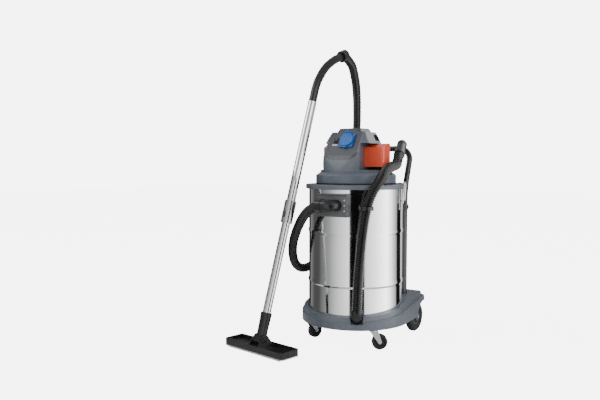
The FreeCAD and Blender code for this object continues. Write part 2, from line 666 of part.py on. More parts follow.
plateBottom = s.trolley_bottom - 3
forkTop = plateBottom - 1.5
headings = {"left": 72, "right": 34.4}
plates = []
for name, side in (("left", -1), ("right", 1)):
    across, along = side * s.caster_track, -s.caster_reach
    plates.append(fuse(cylinder(20, 3, across, along, plateBottom),
                       cylinder(s.caster_pin, 8, across, along, plateBottom - 8),
                       cylinder(8, 2, across, along, plateBottom - 10)))
    turn = Rotation(Z, headings[name])
    half = s.caster_width / 2 + 1.5
    crown = Part.makeCylinder(19, 4, Vector(0, 0, forkTop - 4))
    crown = crown.cut(Part.makeCylinder(s.caster_pin + s.pin_gap, 20, Vector(0, 0, forkTop - 10)))
    crown = crown.cut(Part.makeCylinder(8.3, 8, Vector(0, 0, forkTop - 11)))
    cheeks = []
    for way in (-1, 1):
        cheek = Part.Face(Part.makePolygon([
            Vector(-17, 0, forkTop), Vector(17, 0, forkTop), Vector(s.caster_trail + 8, 0, s.caster_radius),
            Vector(s.caster_trail + 4, 0, s.caster_radius - 7), Vector(s.caster_trail - 4, 0, s.caster_radius - 7),
            Vector(s.caster_trail - 8, 0, s.caster_radius), Vector(-17, 0, forkTop)]))
        start = half if way > 0 else -half - 2
        cheek.translate(Vector(0, start, 0))
        cheeks.append(cheek.extrude(Vector(0, 2, 0)))
    roof = Part.makeBox(28, 2 * half + 4, 2.5, Vector(-14, -half - 2, forkTop - 2.5))
    pin = Part.makeCylinder(3, 2 * half + 8, Vector(s.caster_trail, -half - 4, s.caster_radius), Y)
    forkShape = crown.fuse([roof.cut(Part.makeCylinder(8.3, 9, Vector(0, 0, forkTop - 11)))
                            .cut(Part.makeCylinder(s.caster_pin + s.pin_gap, 20, Vector(0, 0, forkTop - 10)))]
                           + cheeks + [pin])
    fork = feature(forkShape)
    fork.Placement = Placement(Vector(across, along, 0), turn)
    piece(fork, "caster_fork_" + name)
    wheelBlank = Part.makeCylinder(s.caster_radius, s.caster_width,
                                   Vector(s.caster_trail, -s.caster_width / 2, s.caster_radius), Y)
    wheelBlank = wheelBlank.makeFillet(4, [e for e in wheelBlank.Edges if len(e.Vertexes) == 1])
    for start in (-s.caster_width / 2 - 1, s.caster_width / 2 - 4):
        groove = Part.makeCylinder(20, 5, Vector(s.caster_trail, start, s.caster_radius), Y)
        groove = groove.cut(Part.makeCylinder(9, 5, Vector(s.caster_trail, start, s.caster_radius), Y))
        wheelBlank = wheelBlank.cut(groove)
    wheelBlank = wheelBlank.cut(Part.makeCylinder(3 + s.pin_gap, 60,
                                                  Vector(s.caster_trail, -30, s.caster_radius), Y))
    wheel = feature(wheelBlank)
    wheel.Placement = Placement(Vector(across, along, 0), turn)
    piece(wheel, "caster_wheel_" + name)
piece(group(*plates), "caster_plates")


# ---- push handle and its brackets ----

half = s.handle_half_width
legRear = s.handle_setback
handlePath, _ = route([
    Vector(-half, legRear, s.handle_foot), Vector(-half, legRear, s.handle_bend),
    Vector(-half, legRear + s.handle_lean, s.handle_top), Vector(half, legRear + s.handle_lean, s.handle_top),
    Vector(half, legRear, s.handle_bend), Vector(half, legRear, s.handle_foot)], share=0.3)
piece(feature(pipe(handlePath, s.handle_tube, s.handle_tube - 1.8)), "push_handle")
brackets = []
for side in (-1, 1):
    leg = Vector(side * half, legRear, 0)
    out = Vector(leg.x, leg.y, 0).normalize()
    sleeve = Part.makeCylinder(s.handle_tube + 3, 22, Vector(leg.x, leg.y, s.bracket_height - 11))
    gap = leg.Length - s.drum_radius
    arm = Part.makeBox(gap + 6, 16, 18, Vector(-gap - 2, -8, 0))
    arm.Placement = Placement(Vector(leg.x, leg.y, s.bracket_height - 9),
                              Rotation(Z, math.degrees(math.atan2(out.y, out.x))))
    bolt = Part.makeCylinder(5, 4, Vector(leg.x, leg.y, s.bracket_height) + out * (s.handle_tube + 2), out)
    clamp = sleeve.fuse([arm, bolt]).cut(Part.makeCylinder(s.handle_tube + 0.05, 60,
                                                           Vector(leg.x, leg.y, s.bracket_height - 30)))
    clamp = clamp.cut(Part.makeCylinder(s.drum_radius + 0.1, 60, Vector(0, 0, s.bracket_height - 30)))
    brackets.append(feature(clamp))
piece(group(*brackets), "handle_brackets")


# ---- suction hose and hand tube ----

# The wand leans back from the floor tool; the hand tube and the tool share its upright plane.
toolPlace = Vector(-190, -388, 0)
toolTurn = Rotation(Z, -9.6)
wandLean = 17.4
pivot = toolPlace + Vector(0, 0, s.knuckle_height)
wandTurn = toolTurn * Rotation(X, -wandLean)
wandFrame = Placement(pivot, wandTurn)


def alongWand(distance):
    return pivot + wandTurn.multVec(Z) * distance


socketStart = Size(50)
lowerStart = socketStart + s.socket_length
couplingStart = lowerStart + s.lower_length
upperStart = couplingStart + s.coupling_length
wandTop = upperStart + s.upper_length

inPlane = toolTurn.multVec(Y)
topPlace = alongWand(wandTop)


def handPoint(forward, height):
    """A point of the hand tube, in the wand's plane, from the wand's top."""
    return Vector(topPlace.x, topPlace.y, 0) + inPlane * forward + Vector(0, 0, topPlace.z + height)


handPoints = [alongWand(wandTop - s.plug_length), alongWand(wandTop + 83), handPoint(74, 144), handPoint(130, 182),
              handPoint(176, 200)]
handPath, _ = route(handPoints)
piece(feature(pipe(handPath, s.wand_radius - s.wand_wall - 0.05, s.wand_radius - 4)), "hand_tube")

collarStart = handPoints[-1]
collarWay = (handPoints[-1] - handPoints[-2]).normalize()
collar = Part.makeCylinder(24, 30, collarStart + collarWay * 0.05, collarWay)
collar = collar.fuse(Part.makeCylinder(21, 34, collarStart + collarWay * 0.05, collarWay))
cuffFoot = hoseStart + Vector(-0.05, 0, 0)
hosePoints = [
    cuffFoot + Vector(-12, 0, 0), Vector(-70, -234, 541), Vector(-122, -212, 497), Vector(-178, -170, 440),
    Vector(-236, -112, 378), Vector(-284, -42, 316), Vector(-316, 30, 264), Vector(-328, 106, 238),
    Vector(-310, 180, 258), Vector(-274, 236, 326), Vector(-236, 270, 414), Vector(-208, 292, 530),
    Vector(-190, 303, 650), Vector(-177, 306, 770), Vector(-167, 303, 880), Vector(-158, 288, 950),
    Vector(-148, 268, 1012), Vector(-137, 240, 1066), Vector(-127, 204, 1112), Vector(-119, 166, 1148),
    collarStart + collarWay * 22,
]
hosePath, hoseRadii = route(hosePoints)
piece(feature(pipe(hosePath, s.hose_radius)), "suction_hose")
hoseSpace = pipe(hosePath, s.hose_radius + 0.02)
piece(feature(collar.cut(Part.makeCylinder(14, 20, collarStart - collarWay, collarWay)).cut(hoseSpace)), "hose_collar")
cuff = Part.makeCylinder(s.neck_radius + 2, 26, cuffFoot, Vector(-1, 0, 0))
cuff = cuff.cut(Part.makeCylinder(15, 16, cuffFoot + Vector(2, 0, 0), Vector(-1, 0, 0)))
piece(feature(cuff.cut(hoseSpace)), "hose_cuff")
print("suction hose", round(hosePath.Length), [round(r) for r in hoseRadii])


# ---- drain elbow, hose, clip and end fitting ----

elbowWay = [drainOut * (s.drum_radius + 0.1) + Vector(0, 0, 128), elbowPlace + Vector(0, 0, 128),
            elbowPlace + Vector(0, 0, 158)]
elbowPath, _ = route(elbowWay, share=0.85)
piece(feature(pipe(elbowPath, s.drain_radius + 2.5, s.drain_radius - 2)), "drain_elbow")
drainPoints = [
    elbowPlace + Vector(0, 0, 158.9), Vector(117, -188, 260), Vector(124, -184, 365), Vector(133, -178, 470),
    Vector(146, -170, 556), Vector(165, -161, 610), Vector(181, -126, 658), Vector(174, -70, 690),
    Vector(168, -15, 701), Vector(163, 42, 708), Vector(136, 99, 722), Vector(123, 142, 748),
]
drainPath, drainRadii = route(drainPoints)
piece(feature(pipe(drainPath, s.drain_radius)), "drain_hose")
print("drain hose", round(drainPath.Length), [round(r) for r in drainRadii])
clipHeight = 545
clipPlace = Vector(144.1, -171.2, clipHeight)
clipOut = Vector(clipPlace.x, clipPlace.y, 0).normalize()
clipTurn = Rotation(Z, math.degrees(math.atan2(clipOut.y, clipOut.x)))
clipShape = Part.makeCylinder(s.drain_radius + 6, 14, Vector(0, 0, -7))
clipShape = clipShape.cut(Part.makeCylinder(s.drain_radius + 2.6, 20, Vector(0, 0, -10)))
clipShape.Placement = Placement(clipPlace, clipTurn)
clipArm = Part.makeBox(12, 14, 14, Vector(-12, -7, -7))
clipArm.Placement = Placement(clipPlace + clipOut * -(s.drain_radius + 3), clipTurn)
clipShape = clipShape.fuse(clipArm).cut(Part.makeCylinder(s.drum_radius + 0.1, 40, Vector(0, 0, clipHeight - 20)))
piece(feature(clipShape), "drain_clip")

fittingStart = drainPoints[-1]
fittingWay = (drainPoints[-1] - drainPoints[-2]).normalize()
fitting = Part.makeCylinder(s.drain_radius + 3, 30, fittingStart + fittingWay * 0.05, fittingWay)
fitting = fitting.fuse(Part.makeCylinder(s.drain_radius - 0.5, 80, fittingStart + fittingWay * 0.05, fittingWay))
fitting = fitting.fuse(Part.makeCylinder(s.drain_radius + 1, 18, fittingStart + fittingWay * 78, fittingWay))
fitting = fitting.cut(Part.makeCylinder(s.drain_radius - 4, 120, fittingStart - fittingWay, fittingWay))
piece(feature(fitting), "drain_fitting")


# ---- wand: built upright on the tool's pivot, then leant back ----

def onWand(shape, name):
    item = feature(shape)
    item.Placement = wandFrame
    return piece(item, name)


def tube(outer, inner, start, length):
    return Part.makeCylinder(outer, length, Vector(0, 0, start)).cut(
        Part.makeCylinder(inner, length + 2, Vector(0, 0, start - 1)))


lowerRadius = s.wand_radius - s.wand_wall - s.slide_gap
onWand(tube(s.wand_radius, s.wand_radius - s.wand_wall, upperStart, s.upper_length), "wand_upper")
coupling = tube(s.coupling_radius, s.wand_radius, upperStart - 20, 34)
coupling = coupling.fuse(tube(s.coupling_radius, lowerRadius + s.slide_gap, couplingStart, s.coupling_length - 20))
coupling = coupling.cut(tube(s.wand_radius, lowerRadius + s.slide_gap, upperStart, 60))
buttonStart = couplingStart + 22
buttonHole = Part.makeBox(14.6, 10, 30.6, Vector(-7.3, -s.coupling_radius - 4, buttonStart - 6.3))
onWand(coupling.cut(buttonHole.cut(Part.makeCylinder(lowerRadius + 2.4, 200, Vector(0, 0, couplingStart)))),
       "wand_coupling")
button = Part.makeBox(14, 6.2, 18, Vector(-7, -s.coupling_radius - 2.5, buttonStart))
onWand(button.makeFillet(2, [e for e in button.Edges if abs(e.tangentAt(0).y) > 0.9]), "wand_lock_button")
lowerTop = upperStart + s.wand_overlap
lowerTube = tube(lowerRadius, lowerRadius - s.wand_wall, lowerStart - s.plug_length, lowerTop - lowerStart
                 + s.plug_length)
for step in range(12):
    lowerTube = lowerTube.cut(Part.makeCylinder(2.5, 10, Vector(0, -lowerRadius + 4, lowerStart + 40 + step * 25),
                                                Vector(0, -1, 0)))
onWand(lowerTube, "wand_lower")
socketBore = lowerRadius + 0.05
socket = Part.makeCone(s.knuckle_radius - 1, s.knuckle_radius + 1, s.socket_length, Vector(0, 0, socketStart + 0.3))
socket = socket.cut(Part.makeCylinder(socketBore, 200, Vector(0, 0, lowerStart - s.plug_length - 0.05)))
onWand(socket.cut(Part.makeCylinder(13, 200, Vector(0, 0, 0))), "wand_socket")

# ---- floor tool: the elbow tilts between the body's cheeks ----

elbowShape = Part.makeCylinder(s.knuckle_radius - 1, 50, Vector(0, 0, 0))
elbowShape = elbowShape.fuse(Part.makeCylinder(s.knuckle_radius + 2, 44, Vector(-22, 0, 0), X))
elbowShape = elbowShape.cut(Part.makeCylinder(13, 80, Vector(0, 0, -4)))
elbowShape = elbowShape.fuse([Part.makeCylinder(6, 7, Vector(start, 0, 0), X) for start in (-29, 22)])
onWand(elbowShape, "tool_elbow")


def onTool(shape, name):
    item = feature(shape)
    item.Placement = Placement(toolPlace, toolTurn)
    return piece(item, name)


half = s.tool_width / 2
front = -s.tool_depth / 2
brushLift = 8
bodyFloor = brushLift + 2
plan = Part.Face(Part.makePolygon([
    Vector(-half + 8, front, bodyFloor), Vector(half - 8, front, bodyFloor), Vector(half, front + 10, bodyFloor),
    Vector(half, -front - 6, bodyFloor), Vector(half - 6, -front, bodyFloor), Vector(-half + 6, -front, bodyFloor),
    Vector(-half, -front - 6, bodyFloor), Vector(-half, front + 10, bodyFloor), Vector(-half + 8, front, bodyFloor)]))
toolBody = plan.extrude(Vector(0, 0, s.tool_height - bodyFloor - 6))
for side in (-1, 1):
    trough = Part.makeBox(half - 52, s.tool_depth - 26, 14,
                          Vector(side * (half / 2 + 18) - (half - 52) / 2, front + 14, s.tool_height - 16))
    toolBody = toolBody.cut(trough)
cheekShapes = []
for start in (-28.6, 22.4):
    cheek = Part.Face(Part.makePolygon([
        Vector(start, front + 6, s.tool_height - 8), Vector(start, -front - 12, s.tool_height - 8),
        Vector(start, 15, s.knuckle_height + 12), Vector(start, -15, s.knuckle_height + 12),
        Vector(start, front + 6, s.tool_height - 8)]))
    cheekShapes.append(cheek.extrude(Vector(6.2, 0, 0)))
elbowSpace = Part.makeCylinder(s.knuckle_radius + 2.3, 44.8, Vector(-22.4, 0, s.knuckle_height), X)
neckSpace = Part.makeBox(44.8, 60, 60, Vector(-22.4, -30, s.knuckle_height - 12))
pinSpace = Part.makeCylinder(6 + s.pin_gap, 80, Vector(-40, 0, s.knuckle_height), X)
toolBody = toolBody.fuse(cheekShapes).cut(elbowSpace).cut(neckSpace).cut(pinSpace)
cavity = Part.makeBox(s.tool_width - 16, s.tool_depth - 26, 10, Vector(-half + 8, front + 13, bodyFloor - 1))
throat = Part.makeCylinder(13, 60, Vector(0, 0, bodyFloor - 1))
onTool(toolBody.cut(cavity).cut(throat), "tool_body")
soleFrame = plan.extrude(Vector(0, 0, -4)).cut(
    Part.makeBox(s.tool_width - 24, s.tool_depth - 34, 20, Vector(-half + 12, front + 17, 0)))
onTool(soleFrame, "tool_sole")
strips = []
for along in (front + 5, -front - 11):
    strip = Part.makeBox(s.tool_width - 26, 6, bodyFloor - 4, Vector(-half + 13, along, 0))
    strips.append(strip)
onTool(Part.makeCompound(strips), "brush_strips")

# ---- check and write ----

doc.recompute()
failed = [o.Label for o in doc.Objects if "Invalid" in o.State or "Error" in o.State]
bad = [p.Label for p in pieces if p.Shape.isNull() or not p.Shape.isValid() or not p.Shape.Solids]
if failed or bad:
    raise RuntimeError(f"failed objects {failed}, bad shapes {bad}")
os.makedirs("parts", exist_ok=True)
for item in pieces:
    item.Shape.exportStep(f"parts/{item.Label}.step")
print(len(pieces), "sub-parts written")
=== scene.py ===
import bmesh
import bpy
import json
import math
import random
from mathutils import Matrix, Vector


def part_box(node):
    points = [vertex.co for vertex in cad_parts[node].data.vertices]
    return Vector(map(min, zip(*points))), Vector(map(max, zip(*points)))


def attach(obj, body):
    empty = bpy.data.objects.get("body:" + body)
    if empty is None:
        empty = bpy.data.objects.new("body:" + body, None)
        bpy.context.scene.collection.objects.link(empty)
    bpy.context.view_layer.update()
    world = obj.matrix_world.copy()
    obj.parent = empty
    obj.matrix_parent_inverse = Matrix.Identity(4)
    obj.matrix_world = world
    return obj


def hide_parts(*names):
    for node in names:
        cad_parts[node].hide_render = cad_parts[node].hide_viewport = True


# Wet and dry vacuum: steel drum on a trolley, grey motor head, hoses, wand and floor tool. Metres.

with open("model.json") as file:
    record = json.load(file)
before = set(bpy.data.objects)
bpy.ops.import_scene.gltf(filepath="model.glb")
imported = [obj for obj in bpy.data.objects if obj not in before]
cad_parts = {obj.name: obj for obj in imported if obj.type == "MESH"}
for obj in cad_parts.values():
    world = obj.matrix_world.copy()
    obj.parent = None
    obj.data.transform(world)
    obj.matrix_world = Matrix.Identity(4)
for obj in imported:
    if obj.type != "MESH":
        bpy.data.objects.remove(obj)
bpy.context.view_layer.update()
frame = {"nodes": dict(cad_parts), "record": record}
nodes = frame["nodes"]
slotOf = {part["node"]: part["material_slot"] for part in frame["record"]["subparts"]}
bodyOf = {node: body for body, held in frame["record"]["behaviour"]["bodies"].items() for node in held}
random.seed(7)

# camera

view = {"place": (1.310, -2.315, 0.713), "azimuth": 34.4, "drop": 3.2, "lens": 39.12, "sensor": 36}

camera = bpy.data.objects.new("camera", bpy.data.cameras.new("camera"))
bpy.context.scene.collection.objects.link(camera)
bpy.context.scene.camera = camera
turn, drop = math.radians(view["azimuth"]), math.radians(view["drop"])
ahead = Vector((-math.sin(turn) * math.cos(drop), math.cos(turn) * math.cos(drop), -math.sin(drop)))
camera.location = view["place"]
camera.rotation_mode = "QUATERNION"
camera.rotation_quaternion = ahead.to_track_quat("-Z", "Y")
camera.data.lens = view["lens"]
camera.data.sensor_width = view["sensor"]
print("camera set")


# helpers for meshes

def link(name, mesh, node=None, body=None):
    # shows a new mesh, and lets it stand for a node of the frame
    item = bpy.data.objects.new(name, mesh)
    bpy.context.scene.collection.objects.link(item)
    if node:
        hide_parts(node)
        body = bodyOf[node]
    if body:
        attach(item, body)
    return item


def meshOf(name, points, faces, smooth=40):
    mesh = bpy.data.meshes.new(name)
    mesh.from_pydata(points, [], faces)
    shape = bmesh.new()
    shape.from_mesh(mesh)
    bmesh.ops.recalc_face_normals(shape, faces=shape.faces)
    shape.to_mesh(mesh)
    shape.free()
    mesh.polygons.foreach_set("use_smooth", [True] * len(mesh.polygons))
    mesh.set_sharp_from_angle(angle=math.radians(smooth))
    return mesh


def loft(rings, closed=False):
    # skins rings of equal count; an open loft is capped at both ends
    points = [p for ring in rings for p in ring]
    count = len(rings[0])
    pairs = list(zip(range(len(rings)), range(1, len(rings))))
    if closed:
        pairs.append((len(rings) - 1, 0))
    faces = [(a * count + i, a * count + (i + 1) % count, b * count + (i + 1) % count, b * count + i)
             for a, b in pairs for i in range(count)]
    if not closed:
        faces.append(tuple(range(count))[::-1])
        faces.append(tuple((len(rings) - 1) * count + i for i in range(count)))
    return points, faces


def lathe(name, profile, steps):
    # a closed (radius, height) line turned about the upright axis
    rings = [[(r * math.cos(math.tau * i / steps), r * math.sin(math.tau * i / steps), z)
              for i in range(steps)] for r, z in profile]
    return meshOf(name, *loft(rings, closed=True))


# hoses: a smooth line, then rings of corrugation along it

def hoseLine(name, points):
    curve = bpy.data.curves.new(name, "CURVE")
    curve.dimensions = "3D"
    spline = curve.splines.new("NURBS")
    spline.points.add(len(points) - 1)
    for held, place in zip(spline.points, points):
        held.co = (*place, 1)
    spline.order_u = 3
    spline.use_endpoint_u = True
    curve.resolution_u = 24
    line = bpy.data.objects.new(name, curve)
    mesh = bpy.data.meshes.new_from_object(line)
    way = [v.co.copy() for v in mesh.vertices]
    bpy.data.objects.remove(line)
    bpy.data.meshes.remove(mesh)
    return way


def stations(way, steps):
    # evenly spaced places on the line with a frame that doesn't twist
    lengths = [0]
    for a, b in zip(way, way[1:]):
        lengths.append(lengths[-1] + (b - a).length)
    total = lengths[-1]
    found, at = [], 0
    side = Vector((0.3, 0.2, 1))  # any way that no hose starts along
    for step in range(steps + 1):
        goal = total * step / steps
        while at < len(way) - 2 and lengths[at + 1] < goal:
            at += 1
        share = (goal - lengths[at]) / max(lengths[at + 1] - lengths[at], 1e-9)
        place = way[at].lerp(way[at + 1], share)
        ahead, behind = way[min(at + 2, len(way) - 1)], way[max(at - 1, 0)]
        along = (ahead - behind).normalized()
        side = (side - along * side.dot(along)).normalized()
        found.append((place, side, along.cross(side)))
    return found


def corrugated(name, points, look):
    # "rib" holds how far each ring of one rib sinks, from 0 at the crest to 1 in the groove
    way = hoseLine(name + "Line", points)
    length = sum((b - a).length for a, b in zip(way, way[1:]))
    ribs = round(length / look["pitch"])
    held = stations(way, ribs * len(look["rib"]))
    rings = []
    for number, (place, side, across) in enumerate(held):
        radius = look["diameter"] / 2 - look["rib"][number % len(look["rib"])] * look["depth"]
        rings.append([place + (side * math.cos(math.tau * i / look["facets"])
                               + across * math.sin(math.tau * i / look["facets"])) * radius
                      for i in range(look["facets"])])
    return meshOf(name, *loft(rings), smooth=80), way, length


suction = {"diameter": 0.038, "pitch": 0.0068, "depth": 0.0020, "rib": (0, 0, 0.7, 1, 1, 0.7), "facets": 32}
suctionPoints = [
    (-0.0241, -0.236, 0.554), (-0.07, -0.234, 0.541), (-0.122, -0.212, 0.497), (-0.178, -0.17, 0.44),
    (-0.236, -0.112, 0.378), (-0.284, -0.042, 0.316), (-0.316, 0.03, 0.264), (-0.328, 0.106, 0.238),
    (-0.31, 0.18, 0.258), (-0.274, 0.236, 0.326), (-0.236, 0.27, 0.414), (-0.208, 0.292, 0.53),
    (-0.19, 0.303, 0.65), (-0.177, 0.306, 0.77), (-0.167, 0.303, 0.88), (-0.158, 0.288, 0.95),
    (-0.148, 0.268, 1.012), (-0.137, 0.24, 1.066), (-0.127, 0.204, 1.112), (-0.119, 0.166, 1.148),
    (-0.1095, 0.0882, 1.1682)]
suctionMesh, suctionWay, suctionLength = corrugated("suctionHose", suctionPoints, suction)
suctionHose = link("suctionHose", suctionMesh, "suction_hose")

drain = {"diameter": 0.040, "pitch": 0.0082, "depth": 0.0046, "rib": (0, 0, 0.6, 1, 1, 0.6), "facets": 32}
drainPoints = [
    (0.1138, -0.1894, 0.1589), (0.117, -0.188, 0.26), (0.124, -0.184, 0.365), (0.133, -0.178, 0.47),
    (0.146, -0.17, 0.556), (0.165, -0.161, 0.61), (0.181, -0.126, 0.658), (0.174, -0.07, 0.69),
    (0.168, -0.015, 0.701), (0.163, 0.042, 0.708), (0.136, 0.099, 0.722), (0.123, 0.142, 0.748)]
drainMesh, drainWay, drainLength = corrugated("drainHose", drainPoints, drain)
drainHose = link("drainHose", drainMesh, "drain_hose")
print("hoses laid", round(suctionLength, 3), round(drainLength, 3))


# material nodes

class Wire:
    # an output socket that can be used in sums
    def __init__(self, tree, socket=None):
        self.tree = tree
        self.socket = socket

    def add(self, kind, settings=None, inputs=None, output=0):
        # a node of that kind: its settings first, then values or links for its sockets
        node = self.tree.nodes.new("ShaderNode" + kind)
        for key, value in (settings or {}).items():
            if key == "stops":
                ramp = node.color_ramp.elements
                for number, (place, colour) in enumerate(value):
                    stop = ramp[number] if number < len(ramp) else ramp.new(place)
                    stop.position = place
                    stop.color = colour
            else:
                setattr(node, key, value)
        for key, value in (inputs or {}).items():
            self.feed(node.inputs[key], value)
        return Wire(self.tree, node.outputs[output])

    def feed(self, socket, value):
        if isinstance(value, Wire):
            self.tree.links.new(value.socket, socket)
        else:
            socket.default_value = value

    def sum(self, operation, first, second):
        return self.add("Math", {"operation": operation}, {0: first, 1: second})

    def __add__(self, other):
        return self.sum("ADD", self, other)

    def __radd__(self, other):
        return self.sum("ADD", other, self)

    def __sub__(self, other):
        return self.sum("SUBTRACT", self, other)

    def __rsub__(self, other):
        return self.sum("SUBTRACT", other, self)

    def __mul__(self, other):
        return self.sum("MULTIPLY", self, other)

    def __rmul__(self, other):
        return self.sum("MULTIPLY", other, self)

    def noise(self, scale, stretch=(1, 1, 1), detail=3):
        # cloudy variation from 0 to 1 over the object, with features 1/scale metres wide
        place = self.add("TexCoord", output=3)
        wide = self.add("Mapping", {}, {"Vector": place, "Scale": stretch})
        return self.add("TexNoise", {}, {"Vector": wide, "Scale": scale, "Detail": detail})

    def between(self, low, high, value):
        # value spread over low to high and held to 0 to 1
        return self.add("MapRange", {"clamp": True}, {0: value, 1: low, 2: high, 3: 0.0, 4: 1.0})

    def blend(self, share, first, second):
        # from the first colour to the second; the first may be a blend itself
        under = first if isinstance(first, Wire) else (*first, 1)
        return self.add("Mix", {"data_type": "RGBA"}, {0: share, 6: under, 7: (*second, 1)}, 2)

    def bump(self, height, strength, depth, under=None):
        inputs = {"Height": height, "Strength": strength, "Distance": depth}
        if under is not None:
            inputs["Normal"] = under
        return self.add("Bump", {}, inputs)


def newMaterial(name, **fixed):
    material = bpy.data.materials.new(name)
    material.use_nodes = True
    shader = material.node_tree.nodes["Principled BSDF"]
    for key, value in fixed.items():
        shader.inputs[key.replace("_", " ")].default_value = value
    return material, Wire(material.node_tree), shader


def shade(colour, factor):
    return tuple(min(1, c * factor) for c in colour)


dustColour = (0.42, 0.41, 0.39)
scuffColour = (0.12, 0.115, 0.11)


def plastic(name, colour, rough, grain, size, dust, coat=0.0):
    # moulded plastic: fine spark texture, faint flow marks, polished patches and a little settled dust
    material, at, shader = newMaterial(name, Specular_IOR_Level=0.5, Coat_Weight=coat, Coat_Roughness=0.12)
    flow = at.between(0.3, 0.7, at.noise(9))
    rubbed = at.between(0.55, 0.75, at.noise(24, detail=6))
    spark = at.noise(size, detail=2)
    mottled = at.blend(flow, shade(colour, 0.9), shade(colour, 1.08))
    settled = at.between(0.52, 0.8, at.noise(46, detail=8)) * dust
    at.feed(shader.inputs["Base Color"], at.blend(settled, mottled, dustColour))
    at.feed(shader.inputs["Roughness"], rough + 0.1 * (flow - 0.5) - 0.07 * rubbed + 0.2 * settled)
    at.feed(shader.inputs["Normal"], at.bump(spark, grain, 0.0004))
    return material


def polished(name, colour, rough, streak, smear, stretch, wave=0.0):
    # bright metal: fine drawn lines, wiped smears and a slow waviness of the sheet
    material, at, shader = newMaterial(name, Metallic=1.0)
    lines = at.noise(420, stretch, 2)
    wiped = at.between(0.42, 0.72, at.noise(7, detail=6))
    specks = at.between(0.66, 0.8, at.noise(130, detail=5))
    at.feed(shader.inputs["Base Color"], at.blend(wiped, colour, shade(colour, 0.93)))
    at.feed(shader.inputs["Roughness"], rough + streak * lines + smear * wiped + 0.08 * specks)
    relief = at.bump(lines, 0.04, 0.0002)
    if wave:
        relief = at.bump(at.noise(4.5, (1, 1, 0.6), 1), wave, 0.01, relief)
    at.feed(shader.inputs["Normal"], relief)
    return material


def rubber(name, colour, rough=0.75):
    # dull rubber with a bloom of pale scuffs
    material, at, shader = newMaterial(name, Specular_IOR_Level=0.35)
    scuffed = at.between(0.5, 0.8, at.noise(70, detail=8))
    at.feed(shader.inputs["Base Color"], at.blend(scuffed * 0.5, colour, scuffColour))
    at.feed(shader.inputs["Roughness"], rough + 0.12 * scuffed)
    at.feed(shader.inputs["Normal"], at.bump(at.noise(900, detail=4), 0.25, 0.0005))
    return material


def bristle(name, colour):
    material, at, shader = newMaterial(name, Sheen_Weight=0.25)
    strand = at.noise(1800, (1, 1, 0.1), 2)
    at.feed(shader.inputs["Base Color"], at.blend(strand, colour, shade(colour, 3)))
    at.feed(shader.inputs["Roughness"], 0.55 + 0.2 * strand)
    return material


def paper(name, colour):
    material, at, shader = newMaterial(name, Sheen_Weight=0.1)
    fibre = at.noise(1100, (1, 1, 0.5), 6)
    soiled = at.between(0.4, 0.8, at.noise(18, detail=6))
    at.feed(shader.inputs["Base Color"], at.blend(soiled, colour, shade(colour, 0.72)))
    at.feed(shader.inputs["Roughness"], 0.82 + 0.12 * fibre)
    at.feed(shader.inputs["Normal"], at.bump(fibre, 0.4, 0.0006))
    return material


finishes = {
    "polished_steel": polished("drumSteel", (0.78, 0.785, 0.80), 0.045, 0.05, 0.05, (1, 1, 0.02), 0.05),
    "chrome": polished("chromePlate", (0.80, 0.80, 0.81), 0.05, 0.05, 0.04, (1, 1, 0.05)),
    "zinc": polished("zincPlate", (0.62, 0.63, 0.65), 0.24, 0.12, 0.1, (1, 1, 1)),
    "motor_metal": polished("castHousing", (0.50, 0.50, 0.52), 0.42, 0.1, 0.1, (1, 1, 1)),
    "grey_plastic": plastic("bodyGrey", (0.104, 0.122, 0.150), 0.40, 0.14, 1400, 0.06),
    "dark_grey_plastic": plastic("panelCharcoal", (0.050, 0.056, 0.068), 0.38, 0.12, 1500, 0.04),
    "inlet_plastic": plastic("inletGrey", (0.10, 0.105, 0.112), 0.4, 0.12, 1400, 0.05),
    "orange_plastic": plastic("gripOrange", (1.0, 0.11, 0.045), 0.3, 0.06, 1800, 0.0, 0.2),
    "blue_plastic": plastic("lidBlue", (0.004, 0.125, 0.46), 0.28, 0.05, 1800, 0.02, 0.3),
    "black_plastic": plastic("partBlack", (0.008, 0.008, 0.009), 0.33, 0.10, 1500, 0.03),
    "hose_plastic": plastic("hoseBlack", (0.006, 0.006, 0.007), 0.25, 0.05, 1600, 0.02),
    "black_paint": plastic("handlePaint", (0.009, 0.009, 0.010), 0.34, 0.1, 700, 0.03, 0.1),
    "hub_plastic": plastic("hubGrey", (0.055, 0.057, 0.062), 0.45, 0.16, 1400, 0.15),
    "float_plastic": plastic("floatWhite", (0.68, 0.68, 0.66), 0.4, 0.06, 1500, 0.1),
    "rubber": rubber("wheelRubber", (0.014, 0.014, 0.015)),
    "brush_hair": bristle("bristleBlack", (0.012, 0.012, 0.012)),
    "filter_paper": paper("pleatPaper", (0.78, 0.75, 0.66)),
    # socket flange: the lid's blue made darker as painted shade, standing in for the shadow between lid and
    # flange
    "shadedSocketBlue": plastic("socketBlueShaded", (0.006, 0.085, 0.36), 0.36, 0.05, 1800, 0.02, 0.2),
    "couplingChrome": polished("couplingChrome", (0.52, 0.52, 0.54), 0.12, 0.08, 0.1, (1, 1, 0.2)),
    "buttonGrey": plastic("buttonGrey", (0.06, 0.062, 0.066), 0.4, 0.12, 1500, 0.03),
    "paleLabel": plastic("stripPale", (0.55, 0.56, 0.56), 0.35, 0.03, 1500, 0.15),
}


def paint(item, finish):
    item.data.materials.clear()
    item.data.materials.append(finishes[finish])


# frame pieces keep their shape: rounded edges and a finish

